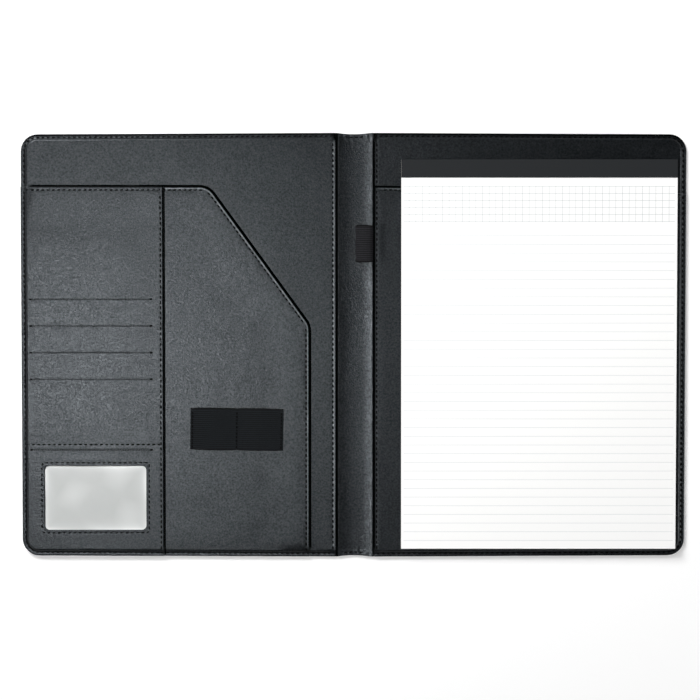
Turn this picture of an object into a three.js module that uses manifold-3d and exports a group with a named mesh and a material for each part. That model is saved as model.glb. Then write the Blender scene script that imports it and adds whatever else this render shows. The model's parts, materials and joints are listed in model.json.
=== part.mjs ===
import * as THREE from 'three';
import { mergeVertices } from 'three/addons/utils/BufferGeometryUtils.js';
import Module from 'manifold-3d';

// A black leather portfolio folder, lying open on its back with its inside up.
// The right cover holds an A4 notepad, the left one a document pocket with card slots.
// Sizes are in millimetres. +X runs from the left cover to the right one, +Y to the head
// and +Z up from the table. The origin is on the table, under the middle of the spine.

// Driving dimensions: what the folder is made to hold
const padWidth = 210;
const padHeight = 297;
const padThickness = 2.5;
const cardWidth = 85.6;
const cardHeight = 54;

// Driving dimensions: the covers and the spine round the notepad
const padToSpine = 23.65;
const padToEdge = 7.6;
const padToHead = 19.7;
const padToFoot = 5.7;
const spineWidth = 25.5;
const cornerRadius = 13;
const coverTaper = 1.1;
const spineEndNotch = 1;

// Driving dimensions: the thickness of each sheet
const skinThickness = 1;
const boardThickness = 2;
const leatherThickness = 0.7;
const backingThickness = 0.7;
const slotStripThickness = 0.15;
const filmThickness = 0.3;
const webbingThickness = 1;
const bindingThickness = 0.3;
const plyGap = 0.05;

// Driving dimensions: the sewn flange round each cover, and its slope up to the board
const flangeWidth = 3.6;
const slopeWidth = 3.8;
const padPocketFlangeWidth = 3;
const padPocketToPad = 0.3;
const padPocketCornerRadius = 3;
const spineFlangeWidth = 3;
const spineSlopeWidth = 4;
const liningToHinge = 1.45;
const hingeGap = 0.1;
const troughDepth = 0.5;

// Driving dimensions: the pockets
const pocketToHead = 39.8;
const pocketToSpine = 20.85;
const pocketCornerRun = 77;
const pocketCornerDrop = 105.7;
const pocketCornerSoftness = 7;
const padPocketToHead = 39.6;
const padPocketFall = 4.3;

// Driving dimensions: the card panel
const slotCount = 4;
const slotPitch = 20.4;
const slotClearance = 5.8;
const slotOpening = 1.2;
const slotToOuterEdge = 7.7;
const slotToPanelEdge = 9.7;
const slotStripHem = 3;
const slotStripSide = 0.2;
const cardShowing = 4;
const windowSideLap = 4;
const windowEndLap = 2.4;
const windowRadius = 3.5;
const windowToFoot = 20;
const windowShift = 3;
const windowToIdSlot = 12.2;
const idSlotToSeam = 4.1;
const filmMargin = 4;

// Driving dimensions: the two pieces of elastic webbing
const bandLength = 71;
const bandWidth = 32.5;
const bandToFoot = 97.2;
const bandTilt = -0.8;
const bandTab = 3;
const bandRise = 1.6;
const loopLength = 27.9;
const loopWidth = 11.2;
const loopHeight = 8;
const loopToHinge = 3.15;
const loopToHead = 83.5;

// Driving dimensions: the notepad's binding strip
const bindingDepth = 13.5;
const bindingUnderDepth = 12;
const backingBend = 5;

// Places worked out from the driving dimensions
const hingeX = spineWidth / 2;
const outerX = hingeX + padToSpine + padWidth + padToEdge;
const edgeHalfHeight = (padHeight + padToHead + padToFoot) / 2;
const liningX = hingeX + liningToHinge;
const plyPitch = leatherThickness + plyGap;
const flangeBase = skinThickness + plyGap;
const middleBase = skinThickness + boardThickness + plyGap;
const cornerSegments = 8;
const smallestRadius = 0.5;

const wasm = await Module();
wasm.setup();

// The covers are a little taller at the hinge than at their outer edge.
function halfHeightAt(x) {
  const toOuterEdge = (x - hingeX) / (outerX - hingeX);
  return edgeHalfHeight + coverTaper * (1 - toOuterEdge);
}

// One ring of a cover's outline, drawn in from the outer edges by the inset and cut
// square at the spine. It runs anticlockwise, and the left cover mirrors the right one.
function coverRing(side, inset, spineSideX, radius = Math.max(cornerRadius - inset, smallestRadius)) {
  const centreX = outerX - inset - radius;
  const centreY = halfHeightAt(centreX) - inset - radius;
  const spineSideY = halfHeightAt(spineSideX) - inset;
  const foot = new THREE.Path().absarc(centreX, -centreY, radius, -Math.PI / 2, 0);
  const head = new THREE.Path().absarc(centreX, centreY, radius, 0, Math.PI / 2);
  const points = [
    new THREE.Vector2(spineSideX, -spineSideY),
    ...foot.getPoints(cornerSegments),
    ...head.getPoints(cornerSegments),
    new THREE.Vector2(spineSideX, spineSideY),
  ];
  if (side > 0) return points;
  return points.map((point) => new THREE.Vector2(-point.x, point.y)).reverse();
}

// A closed skin through rings of equally many points, capped at the first and last ring.
function loft(rings) {
  const count = rings[0].points.length;
  const positions = rings.flatMap(({ points, z }) => points.flatMap(({ x, y }) => [x, y, z]));
  const cap = THREE.ShapeUtils.triangulateShape(rings[0].points, []);
  const lastCap = THREE.ShapeUtils.triangulateShape(rings.at(-1).points, []);
  const lastStart = (rings.length - 1) * count;
  const index = cap.flatMap(([a, b, c]) => [a, c, b]);
  for (let ring = 0; ring < rings.length - 1; ring += 1) {
    for (let step = 0; step < count; step += 1) {
      const a = ring * count + step;
      const b = ring * count + (step + 1) % count;
      index.push(a, b, b + count, a, b + count, a + count);
    }
  }
  index.push(...lastCap.flat().map((corner) => corner + lastStart));
  const geometry = new THREE.BufferGeometry();
  geometry.setAttribute('position', new THREE.Float32BufferAttribute(positions, 3));
  geometry.setIndex(index);
  return geometry;
}

// Where a sheet leaves the flange and where its slope ends.
const coverSlope = { start: flangeWidth, end: flangeWidth + slopeWidth };

// A sheet of leather over a whole cover: it lies on the sewn flange at the edges, climbs the
// slope and lies flat over the board. The level counts the sheets under it, and the rise is
// what else lies between them over the board.
function coverPly(side, level, rise, slope = coverSlope) {
  const flangeZ = flangeBase + level * plyPitch;
  const middleZ = middleBase + level * plyPitch + rise;
  const flangeX = liningX + spineFlangeWidth;
  const middleX = flangeX + spineSlopeWidth;
  const under = [
    { points: coverRing(side, 0, liningX), z: flangeZ },
    { points: coverRing(side, slope.start, flangeX), z: flangeZ },
    { points: coverRing(side, slope.end, middleX, slope.endRadius), z: middleZ },
  ];
  const over = under.map(({ points, z }) => ({ points, z: z + leatherThickness }));
  return loft([...under.toReversed(), ...over]);
}

function toSolid(geometry) {
  geometry.deleteAttribute('normal');
  geometry.deleteAttribute('uv');
  const merged = mergeVertices(geometry);
  const mesh = new wasm.Mesh({
    numProp: 3,
    vertProperties: Float32Array.from(merged.attributes.position.array),
    triVerts: Uint32Array.from(merged.index.array),
  });
  return new wasm.Manifold(mesh);
}

function toGeometry(solid) {
  const { vertProperties, triVerts } = solid.getMesh();
  const geometry = new THREE.BufferGeometry();
  geometry.setAttribute('position', new THREE.BufferAttribute(vertProperties, 3));
  geometry.setIndex(new THREE.BufferAttribute(triVerts, 1));
  return geometry;
}

function common(geometry, other) {
  return toGeometry(toSolid(geometry).intersect(toSolid(other)));
}

function cutAway(geometry, cutters) {
  return toGeometry(cutters.reduce((solid, cutter) => solid.subtract(toSolid(cutter)), toSolid(geometry)));
}

// A flat sheet or a cutter: a plan shape between two heights.
function prism(shape, low, high) {
  const options = { depth: high - low, bevelEnabled: false, curveSegments: cornerSegments };
  return new THREE.ExtrudeGeometry(shape, options).translate(0, 0, low);
}

function rectangle(left, foot, right, head) {
  return new THREE.Shape([
    new THREE.Vector2(left, foot),
    new THREE.Vector2(right, foot),
    new THREE.Vector2(right, head),
    new THREE.Vector2(left, head),
  ]);
}

function roundedRectangle(left, foot, right, head, radius) {
  const shape = new THREE.Shape();
  shape.absarc(right - radius, foot + radius, radius, -Math.PI / 2, 0);
  shape.absarc(right - radius, head - radius, radius, 0, Math.PI / 2);
  shape.absarc(left + radius, head - radius, radius, Math.PI / 2, Math.PI);
  shape.absarc(left + radius, foot + radius, radius, Math.PI, Math.PI * 1.5);
  return shape;
}

// A section drawn across the spine, in X and Z, and carried along it.
function alongSpine(section, length, centreY) {
  const options = { depth: length, bevelEnabled: false, curveSegments: 2 * cornerSegments };
  const geometry = new THREE.ExtrudeGeometry(section, options);
  return geometry.rotateX(Math.PI / 2).translate(0, centreY + length / 2, 0);
}

// A section drawn along the spine, in Y and Z, and carried across it.
function acrossSpine(section, length, startX) {
  const options = { depth: length, bevelEnabled: false, curveSegments: cornerSegments };
  const turn = new THREE.Matrix4().makeBasis(
    new THREE.Vector3(0, 1, 0),
    new THREE.Vector3(0, 0, 1),
    new THREE.Vector3(1, 0, 0),
  );
  return new THREE.ExtrudeGeometry(section, options).applyMatrix4(turn).translate(startX, 0, 0);
}

const material = {
  skin: new THREE.MeshStandardMaterial({ color: 0x2b2e30, roughness: 0.55, metalness: 0 }),
  lining: new THREE.MeshStandardMaterial({ color: 0x303336, roughness: 0.5, metalness: 0 }),
  board: new THREE.MeshStandardMaterial({ color: 0x8d867a, roughness: 0.9, metalness: 0 }),
  card: new THREE.MeshStandardMaterial({ color: 0xa89a80, roughness: 0.9, metalness: 0 }),
  paper: new THREE.MeshStandardMaterial({ color: 0xf6f6f4, roughness: 0.85, metalness: 0 }),
  binding: new THREE.MeshStandardMaterial({ color: 0x2a2e31, roughness: 0.6, metalness: 0 }),
  slotCloth: new THREE.MeshStandardMaterial({ color: 0x17191b, roughness: 0.8, metalness: 0 }),
  film: new THREE.MeshStandardMaterial({ color: 0xc9cbca, roughness: 0.35, metalness: 0 }),
  webbing: new THREE.MeshStandardMaterial({ color: 0x1b1f22, roughness: 0.85, metalness: 0 }),
};

function piece(name, geometry, look) {
  const mesh = new THREE.Mesh(geometry, look);
  mesh.name = name;
  return mesh;
}

// The outer leather of one cover. It meets the spine's leather at the hinge line.
function outerSkin(side) {
  const outline = new THREE.Shape(coverRing(side, 0, hingeX + hingeGap));
  return prism(outline, 0, skinThickness);
}

// The stiff board inside a cover stops short of the slope on all four sides.
function coverBoard(side) {
  const inset = flangeWidth + slopeWidth + plyGap;
  const spineSideX = liningX + spineFlangeWidth + spineSlopeWidth + plyGap;
  const outline = new THREE.Shape(coverRing(side, inset, spineSideX));
  return prism(outline, skinThickness, skinThickness + boardThickness);
}

// The spine's plan has ends that are drawn in a little between the covers.
function spinePlan() {
  const halfWidth = hingeX - hingeGap;
  const halfHeight = halfHeightAt(hingeX);
  const shape = new THREE.Shape();
  shape.moveTo(-halfWidth, -halfHeight);
  shape.quadraticCurveTo(0, -halfHeight + 2 * spineEndNotch, halfWidth, -halfHeight);
  shape.lineTo(halfWidth, halfHeight);
  shape.quadraticCurveTo(0, halfHeight - 2 * spineEndNotch, -halfWidth, halfHeight);
  shape.closePath();
  return shape;
}

function spineSkin() {
  return prism(spinePlan(), 0, skinThickness);
}

// The spine's lining sags between the covers as a long shallow trough.
function spineTroughTop(x) {
  return skinThickness + plyPitch + troughDepth * (x / hingeX) ** 2;
}

function spineLining() {
  const halfWidth = hingeX - hingeGap;
  const steps = Array.from({ length: 2 * cornerSegments + 1 }, (_, step) => step / cornerSegments - 1);
  const top = steps.map((step) => new THREE.Vector2(step * halfWidth, spineTroughTop(step * halfWidth)));
  const under = top.map(({ x, y }) => new THREE.Vector2(x, y - leatherThickness));
  const section = new THREE.Shape([...under, ...top.toReversed()]);
  const height = 2 * halfHeightAt(hingeX);
  const plan = prism(spinePlan(), 0, skinThickness + plyPitch + troughDepth + leatherThickness);
  return common(alongSpine(section, height, 0), plan);
}

// The pen loop is a ring of webbing that stands on the spine beside the right hinge.
function penLoop() {
  const halfWidth = loopWidth / 2;
  const halfHeight = loopHeight / 2;
  const centreX = hingeX - loopToHinge - halfWidth;
  const centreZ = spineTroughTop(hingeX - loopToHinge - halfWidth / 2) + halfHeight;
  const section = new THREE.Shape();
  section.absellipse(centreX, centreZ, halfWidth, halfHeight, 0, 2 * Math.PI);
  const hole = new THREE.Path();
  const innerHalfWidth = halfWidth - webbingThickness;
  const innerHalfHeight = halfHeight - webbingThickness;
  hole.absellipse(centreX, centreZ, innerHalfWidth, innerHalfHeight, 0, 2 * Math.PI, true);
  section.holes.push(hole);
  const centreY = edgeHalfHeight - loopToHead;
  return alongSpine(section, loopLength, centreY);
}

// The document pocket opens at the head and along a slanting mouth.
function documentPocket() {
  const head = edgeHalfHeight - pocketToHead;
  const right = -hingeX - pocketToSpine;
  const beyond = outerX + cornerRadius;
  const below = -halfHeightAt(hingeX) - cornerRadius;
  const corner = new THREE.Vector2(right - pocketCornerRun, head);
  const elbow = new THREE.Vector2(right, head - pocketCornerDrop);
  const slant = elbow.clone().sub(corner).normalize().multiplyScalar(pocketCornerSoftness);
  const shape = new THREE.Shape();
  shape.moveTo(-beyond, below);
  shape.lineTo(right, below);
  shape.lineTo(right, elbow.y - pocketCornerSoftness);
  shape.quadraticCurveTo(elbow.x, elbow.y, elbow.x - slant.x, elbow.y - slant.y);
  shape.lineTo(corner.x + slant.x, corner.y + slant.y);
  shape.quadraticCurveTo(corner.x, corner.y, corner.x - pocketCornerSoftness, corner.y);
  shape.lineTo(-beyond, head);
  shape.closePath();
  return common(coverPly(-1, 1, 0), prism(shape, 0, beyond));
}

// Places on the card panel, from the outer edge inwards and from the foot upwards
const slotLength = cardWidth + slotClearance;
const slotLeft = -outerX + slotToOuterEdge;
const slotRight = slotLeft + slotLength;
const panelRight = slotRight + slotToPanelEdge;
const windowFoot = -edgeHalfHeight + windowToFoot;
const windowHead = windowFoot + cardHeight - 2 * windowEndLap;
const windowCentreX = (slotLeft + slotRight) / 2 + windowShift;
const windowLeft = windowCentreX - cardWidth / 2 + windowSideLap;
const windowRight = windowCentreX + cardWidth / 2 - windowSideLap;
const idSlotY = windowHead + windowToIdSlot;
const seamY = idSlotY + idSlotToSeam;
const lowestSlotY = seamY + cardHeight - cardShowing;
const slotStack = slotCount * slotStripThickness;
const panelBase = middleBase + 2 * plyPitch + slotStack;

function slotCutter(centreY) {
  const half = slotOpening / 2;
  return prism(rectangle(slotLeft, centreY - half, slotRight, centreY + half), 0, 2 * panelBase);
}

// The card panel is sewn over the pocket's outer part. It has a row of card slots, a slot
// for an identity card and the window that shows it.
function cardPanel() {
  const head = edgeHalfHeight - pocketToHead;
  const beyond = outerX + cornerRadius;
  const plan = prism(rectangle(-beyond, -beyond, panelRight, head), 0, 2 * panelBase);
  const window = roundedRectangle(windowLeft, windowFoot, windowRight, windowHead, windowRadius);
  const slots = Array.from({ length: slotCount }, (_, slot) => slotCutter(lowestSlotY + slot * slotPitch));
  const cutters = [...slots, slotCutter(idSlotY), prism(window, 0, 2 * panelBase)];
  return cutAway(common(coverPly(-1, 2, slotStack), plan), cutters);
}

// Each card slot has its own thin cloth behind it, fixed above the slot. The top slot's
// cloth lies lowest, so that each card slips in front of its own cloth and behind the next.
function slotStrip(slot) {
  const slotY = lowestSlotY + (slotCount - 1 - slot) * slotPitch;
  const low = middleBase + 2 * plyPitch - plyGap + slot * slotStripThickness;
  const head = slotY + slotOpening / 2 + slotStripHem;
  const foot = slotY - cardHeight + cardShowing;
  const plan = rectangle(slotLeft - slotStripSide, foot, slotRight + slotStripSide, head);
  return prism(plan, low, low + slotStripThickness);
}

function windowFilm() {
  const plan = rectangle(
    windowLeft - filmMargin,
    windowFoot - filmMargin,
    windowRight + filmMargin,
    windowHead + filmMargin,
  );
  return prism(plan, panelBase - filmThickness, panelBase);
}

// The webbing band is sewn down at both ends and in the middle, and rises a little between.
function elasticBand() {
  const halfLength = bandLength / 2;
  const samples = 8 * cornerSegments;
  const span = halfLength - 1.5 * bandTab;
  const bottom = Array.from({ length: samples + 1 }, (_, sample) => {
    const x = -halfLength + (sample * bandLength) / samples;
    const alongSpan = THREE.MathUtils.clamp((Math.abs(x) - bandTab / 2) / span, 0, 1);
    return new THREE.Vector2(x, bandRise * Math.sin(Math.PI * alongSpan) ** 2);
  });
  const top = bottom.map(({ x, y }) => new THREE.Vector2(x, y + webbingThickness));
  return alongSpine(new THREE.Shape([...bottom, ...top.toReversed()]), bandWidth, 0);
}

function placedElasticBand() {
  const band = piece('elastic_band', elasticBand(), material.webbing);
  const pocketRight = -hingeX - pocketToSpine;
  const pocketTop = middleBase + 2 * plyPitch;
  band.position.set((panelRight + pocketRight) / 2, -edgeHalfHeight + bandToFoot, pocketTop);
  band.rotation.z = THREE.MathUtils.degToRad(bandTilt);
  return band;
}

// The notepad pocket covers the lower part of the right cover, and the notepad's stiff
// backing slips into it from the head.
const padBackingBase = middleBase + plyPitch;
const padBase = padBackingBase + backingThickness + plyGap + plyPitch;
const padLeft = hingeX + padToSpine;
const padHead = edgeHalfHeight - padToHead;
const padFoot = padHead - padHeight;
const padPocketHead = edgeHalfHeight - padPocketToHead;

function padPocket() {
  const beyond = outerX + cornerRadius;
  const slopeEnd = Math.min(padToFoot, padToEdge) - padPocketToPad;
  const slopeStart = Math.min(padPocketFlangeWidth, slopeEnd / 2);
  const slope = { start: slopeStart, end: slopeEnd, endRadius: padPocketCornerRadius };
  const ply = coverPly(1, 1, backingThickness + plyGap, slope);
  const shape = new THREE.Shape();
  shape.moveTo(0, -beyond);
  shape.lineTo(beyond, -beyond);
  shape.lineTo(beyond, padPocketHead - padPocketFall);
  shape.lineTo(0, padPocketHead);
  shape.closePath();
  return common(ply, prism(shape, 0, 2 * padBase));
}

// The backing lies flat in the pocket, and beyond the pocket's mouth it bends up to the
// sheets' underside, by the thickness of the pocket.
function padBacking() {
  const low = padBackingBase;
  const high = low + plyPitch;
  const bendStart = padPocketHead + plyPitch;
  const bendEnd = bendStart + backingBend;
  const bendMiddle = (bendStart + bendEnd) / 2;
  const shape = new THREE.Shape();
  shape.moveTo(padFoot, low);
  shape.lineTo(bendStart, low);
  shape.bezierCurveTo(bendMiddle, low, bendMiddle, high, bendEnd, high);
  shape.lineTo(padHead, high);
  shape.lineTo(padHead, high + backingThickness);
  shape.lineTo(bendEnd, high + backingThickness);
  const lowTop = low + backingThickness;
  shape.bezierCurveTo(bendMiddle, high + backingThickness, bendMiddle, lowTop, bendStart, lowTop);
  shape.lineTo(padFoot, lowTop);
  shape.closePath();
  return acrossSpine(shape, padWidth, padLeft);
}

function padSheets() {
  const plan = rectangle(padLeft, padFoot, padLeft + padWidth, padHead);
  return prism(plan, padBase, padBase + padThickness);
}

// The binding strip folds over the notepad's head and is glued to its front and back.
function padBinding() {
  const backLow = padBackingBase + plyPitch - plyGap;
  const frontHigh = padBase + padThickness + plyGap;
  const headInside = padHead + plyGap;
  const shape = new THREE.Shape();
  shape.moveTo(padHead - bindingUnderDepth, backLow - bindingThickness);
  shape.lineTo(headInside + bindingThickness, backLow - bindingThickness);
  shape.lineTo(headInside + bindingThickness, frontHigh + bindingThickness);
  shape.lineTo(padHead - bindingDepth, frontHigh + bindingThickness);
  shape.lineTo(padHead - bindingDepth, frontHigh);
  shape.lineTo(headInside, frontHigh);
  shape.lineTo(headInside, backLow);
  shape.lineTo(padHead - bindingUnderDepth, backLow);
  shape.closePath();
  return acrossSpine(shape, padWidth, padLeft);
}

const rightCover = new THREE.Group();
rightCover.add(
  piece('right_outer_skin', outerSkin(1), material.skin),
  piece('right_board', coverBoard(1), material.board),
  piece('right_lining', coverPly(1, 0, 0), material.lining),
  piece('pad_pocket', padPocket(), material.lining),
  piece('pad_backing', padBacking(), material.card),
  piece('pad_sheets', padSheets(), material.paper),
  piece('pad_binding', padBinding(), material.binding),
);

const spine = new THREE.Group();
spine.add(
  piece('spine_outer_skin', spineSkin(), material.skin),
  piece('spine_lining', spineLining(), material.lining),
  piece('pen_loop', penLoop(), material.webbing),
);

const leftCover = new THREE.Group();
leftCover.add(
  piece('left_outer_skin', outerSkin(-1), material.skin),
  piece('left_board', coverBoard(-1), material.board),
  piece('left_lining', coverPly(-1, 0, 0), material.lining),
  piece('document_pocket', documentPocket(), material.lining),
  piece('card_panel', cardPanel(), material.lining),
  piece('id_window_film', windowFilm(), material.film),
  placedElasticBand(),
);
for (let slot = 0; slot < slotCount; slot += 1) {
  leftCover.add(piece(`card_slot_backing_${slot + 1}`, slotStrip(slot), material.slotCloth));
}

const folder = new THREE.Group();
folder.add(rightCover, spine, leftCover);

export default folder;
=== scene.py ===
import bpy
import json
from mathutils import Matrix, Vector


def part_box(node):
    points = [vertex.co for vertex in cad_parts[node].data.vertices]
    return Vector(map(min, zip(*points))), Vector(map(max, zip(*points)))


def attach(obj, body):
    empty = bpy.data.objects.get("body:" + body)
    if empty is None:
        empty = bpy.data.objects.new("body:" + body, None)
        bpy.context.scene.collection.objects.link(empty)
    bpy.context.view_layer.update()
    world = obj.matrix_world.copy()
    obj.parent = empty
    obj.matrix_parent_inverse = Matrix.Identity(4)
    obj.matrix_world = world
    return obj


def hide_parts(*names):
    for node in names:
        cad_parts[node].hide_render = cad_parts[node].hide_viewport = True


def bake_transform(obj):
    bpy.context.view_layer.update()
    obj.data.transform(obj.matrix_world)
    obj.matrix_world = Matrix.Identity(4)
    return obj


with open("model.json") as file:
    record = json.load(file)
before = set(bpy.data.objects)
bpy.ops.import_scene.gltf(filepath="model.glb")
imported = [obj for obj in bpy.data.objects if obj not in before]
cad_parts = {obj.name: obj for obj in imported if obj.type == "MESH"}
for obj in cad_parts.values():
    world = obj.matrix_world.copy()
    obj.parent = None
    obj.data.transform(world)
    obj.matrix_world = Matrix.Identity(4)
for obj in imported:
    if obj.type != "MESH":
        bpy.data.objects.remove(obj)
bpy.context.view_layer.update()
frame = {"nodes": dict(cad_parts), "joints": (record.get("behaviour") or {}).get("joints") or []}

import json
import math

import bmesh
import bpy
import numpy as np
from mathutils import Matrix, Vector


# Outer leather
# One sheet of black embossed leather, a millimetre thick, wraps both covers and the spine.
# Its edges are turned and sewn to the inner leather, so they stand a little off the table.
# It is made as two halves that meet in the middle of the spine, one for each hinge.

mm = 0.001
hinge_x = frame["joints"][0]["pos_m"][0]
outer_x, hinge_half_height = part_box("right_outer_skin")[1][:2]
edge_half_height = hinge_half_height - 1.1 * mm
corner_radius = 13 * mm
spine_notch = 1 * mm
skin = 1 * mm
leather = 0.7 * mm
ply_gap = 0.05 * mm
ply_pitch = leather + ply_gap
flange_lift = 0.5 * mm
flange_lift_at_spine = 0.65
flange_end = 2.7 * mm
slope_end = 4.9 * mm
# Where the painted shade on the rim at the head begins and where it is full.
head_shade_start, head_shade_end = 152 * mm, 158 * mm
seam_inset = 2.4 * mm
stitch_pitch = 4 * mm


def smooth_step(low, high, value):
    """0 below low, 1 above high and the cubic 3t2 - 2t3 between them."""
    t = np.clip((value - low) / (high - low), 0, 1)
    return t * t * (3 - 2 * t)


def half_height(x):
    """Half the cover's height at x: it grows evenly from the outer edge to the hinge, and
    the spine's ends dip in by a parabola between the hinges."""
    across = np.clip((np.abs(x) - hinge_x) / (outer_x - hinge_x), 0, 1)
    notch = spine_notch * (1 - np.clip(np.abs(x) / hinge_x, 0, 1) ** 2)
    return hinge_half_height + (edge_half_height - hinge_half_height) * across - notch


def past_arc_centre(x, y):
    """How far a place lies past the centre of its corner's arc, across and along."""
    return np.abs(x) - (outer_x - corner_radius), np.abs(y) - (half_height(x) - corner_radius)


def cover_inset(x, y):
    """Distance in from the folder's outline: to the nearest side, or to the arc in the
    four rounded corners."""
    p, q = past_arc_centre(x, y)
    in_corner = (p > 0) & (q > 0)
    return corner_radius - np.where(in_corner, np.hypot(p, q), np.maximum(p, q))


def seam_place(x, y):
    """Distance along the cover's seam from the hinge at the foot: along the foot, round
    the corner arc, up the outer side, round the next arc and back along the head."""
    straight = outer_x - corner_radius - hinge_x
    side = edge_half_height - corner_radius
    arc = corner_radius - seam_inset
    quarter = arc * math.pi / 2
    p, q = past_arc_centre(x, y)
    turn = np.arctan2(np.maximum(p, 0), np.maximum(q, 1e-9))
    to_end = np.where(p > 0, straight + turn * arc, np.abs(x) - hinge_x)
    whole = 2 * straight + 2 * quarter + 2 * side
    by_end = np.where(y < 0, to_end, whole - to_end)
    by_side = straight + quarter + side + y
    on_side = (q <= 0) & (p > 0)
    return np.where(on_side, by_side, by_end)


def seam_dip(across, along, depth=0.1 * mm, width=0.75 * mm):
    """Depth of the groove that a seam presses into leather: a bell curve across the seam,
    deeper at each needle hole by a cosine along it."""
    holes = 0.6 + 0.4 * np.cos(2 * math.pi * along / stitch_pitch)
    return depth * holes * np.exp(-((across / width) ** 2))


def edge_lines(reach):
    """Distances from an edge that show a rounded rim, a seam and the slope behind it."""
    near = [0, 0.03, 0.13, 0.29, 0.5, 1, 1.6, 2, 2.4, 2.8, 3.2, 3.6, 4, 4.4, 4.8, 5.4, 6.2, 8]
    return np.concatenate([near, np.linspace(9.6, reach / mm, 4)]) * mm


def rim_drop(inset, width=0.5 * mm, height=0.5 * mm):
    """How far a rounded rim lies below the sheet's face: a quarter of an ellipse."""
    reach = np.clip(1 - inset / width, 0, 1)
    return height * (1 - np.sqrt(1 - reach**2))


def round_corners(x, y):
    """Turns the grid's square corners into arcs: in a corner square, a point keeps its
    larger coordinate from the arc's centre as its distance from that centre."""
    p, q = past_arc_centre(x, y)
    inside = (p > 0) & (q > 0)
    scale = np.where(inside, np.maximum(p, q) / np.maximum(np.hypot(p, q), 1e-9), 1)
    new_x = np.sign(x) * (np.abs(x) - np.where(inside, p * (1 - scale), 0))
    new_y = np.sign(y) * (np.abs(y) - np.where(inside, q * (1 - scale), 0))
    return new_x, new_y


def new_piece(name, points, faces, flat=0, dye=None):
    """An object from points and faces, smooth but for the last few flat ones, with its
    doubled points merged and its faces turned outwards. The painted shading goes into the
    attribute that materials read: 1 where shade is painted black on edges, down to -2 where
    a highlight is painted on folds."""
    mesh = bpy.data.meshes.new(name)
    mesh.from_pydata(points.tolist(), [], faces)
    if dye is not None:
        # This attribute holds painted light, both painted shade and painted highlights, which the
        # materials read.
        mesh.attributes.new("finish", "FLOAT", "POINT").data.foreach_set("value", dye)
    smooth = np.ones(len(faces), bool)
    smooth[len(faces) - flat:] = False
    mesh.polygons.foreach_set("use_smooth", smooth)
    work = bmesh.new()
    work.from_mesh(mesh)
    bmesh.ops.remove_doubles(work, verts=work.verts, dist=1e-6)
    bmesh.ops.recalc_face_normals(work, faces=work.faces)
    work.to_mesh(mesh)
    work.free()
    piece = bpy.data.objects.new(name, mesh)
    bpy.context.scene.collection.objects.link(piece)
    return piece


def grid_faces(rows, columns, start=0, wrap=False):
    """Four-sided faces between neighbours of a grid of points numbered row by row."""
    number = np.arange(rows * columns).reshape(rows, columns) + start
    if wrap:
        number = np.hstack([number, number[:, :1]])
    corners = [number[:-1, :-1], number[:-1, 1:], number[1:, 1:], number[1:, :-1]]
    return np.stack([corner.ravel() for corner in corners], axis=1).tolist()


def closed_sheet(name, x, y, top, bottom, dye=None, kept=None):
    """A closed sheet on a grid of x and y: its face, its back, and walls round the cells
    that are kept, which also line the openings."""
    size = x.size
    points = np.concatenate([np.stack([x.ravel(), y.ravel(), height.ravel()], axis=1)
                             for height in (top, bottom)])
    number = np.arange(size).reshape(x.shape)
    corners = [number[:-1, :-1], number[:-1, 1:], number[1:, 1:], number[1:, :-1]]
    kept = np.ones(corners[0].shape, bool) if kept is None else kept
    cells = np.stack([corner[kept] for corner in corners], axis=1)
    solid = np.pad(kept, 1)
    walls = []
    for first, (down, right) in enumerate(((-1, 0), (0, 1), (1, 0), (0, -1))):
        beyond = np.roll(solid, (-down, -right), axis=(0, 1))[1:-1, 1:-1]
        a, b = (corners[corner % 4][kept & ~beyond] for corner in (first, first + 1))
        walls.append(np.stack([a, b, b + size, a + size], axis=1))
    walls = np.concatenate(walls)
    faces = np.concatenate([cells, cells + size, walls]).tolist()
    dye = None if dye is None else np.tile(dye.ravel(), 2)
    return new_piece(name, points, faces, len(walls), dye)


def rim_lift(x, y):
    """How far the sewn rim stands off the table: it fades out by a smooth step towards the
    cover's middle, and is a third lower at the spine's ends."""
    inset = np.minimum(half_height(x) - np.abs(y), cover_inset(x, y))
    on_cover = smooth_step(16 * mm, 30 * mm, np.abs(x))
    share = flange_lift_at_spine + (1 - flange_lift_at_spine) * on_cover
    return flange_lift * share * (1 - smooth_step(flange_end, slope_end, inset))


def outer_half(side, name):
    """Half of the outer leather: a flat field at the table, lifted by a smooth step towards
    the outline, and pressed in along the seam on its back."""
    near_hinge = np.concatenate([[0, 0.05, 0.3], np.arange(0.75, 20.1, 0.75)]) * mm
    middle = np.linspace(30 * mm, outer_x - 30 * mm, 14)
    across = np.concatenate([near_hinge, middle, outer_x - edge_lines(16 * mm)[::-1]])
    up = edge_half_height - edge_lines(16 * mm)[::-1]
    along = np.concatenate([-up[::-1], np.linspace(-up[0], up[0], 22)[1:-1], up])
    x, v = np.meshgrid(side * across, along)
    y = v * half_height(x) / edge_half_height
    x, y = round_corners(x, y)
    inset = cover_inset(x, y)
    lift = rim_lift(x, y)
    press = seam_dip(inset - seam_inset, seam_place(x, y), 0.15 * mm)
    drop = rim_drop(inset)
    # Painted shade: the rim at the head is painted black.
    head = smooth_step(head_shade_start, head_shade_end, y)
    dye = (1 - smooth_step(0.5 * mm, 1.2 * mm, inset)) * head
    return closed_sheet(name, x, y, lift + skin - drop, lift + press + drop, dye)


def linear(text):
    """A colour written as sRGB hex digits, as linear red, green, blue and alpha."""
    values = np.array([int(text[place:place + 2], 16) for place in (0, 2, 4)]) / 255
    low, high = values / 12.92, ((values + 0.055) / 1.055) ** 2.4
    return (*np.where(values <= 0.04045, low, high).tolist(), 1.0)


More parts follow.
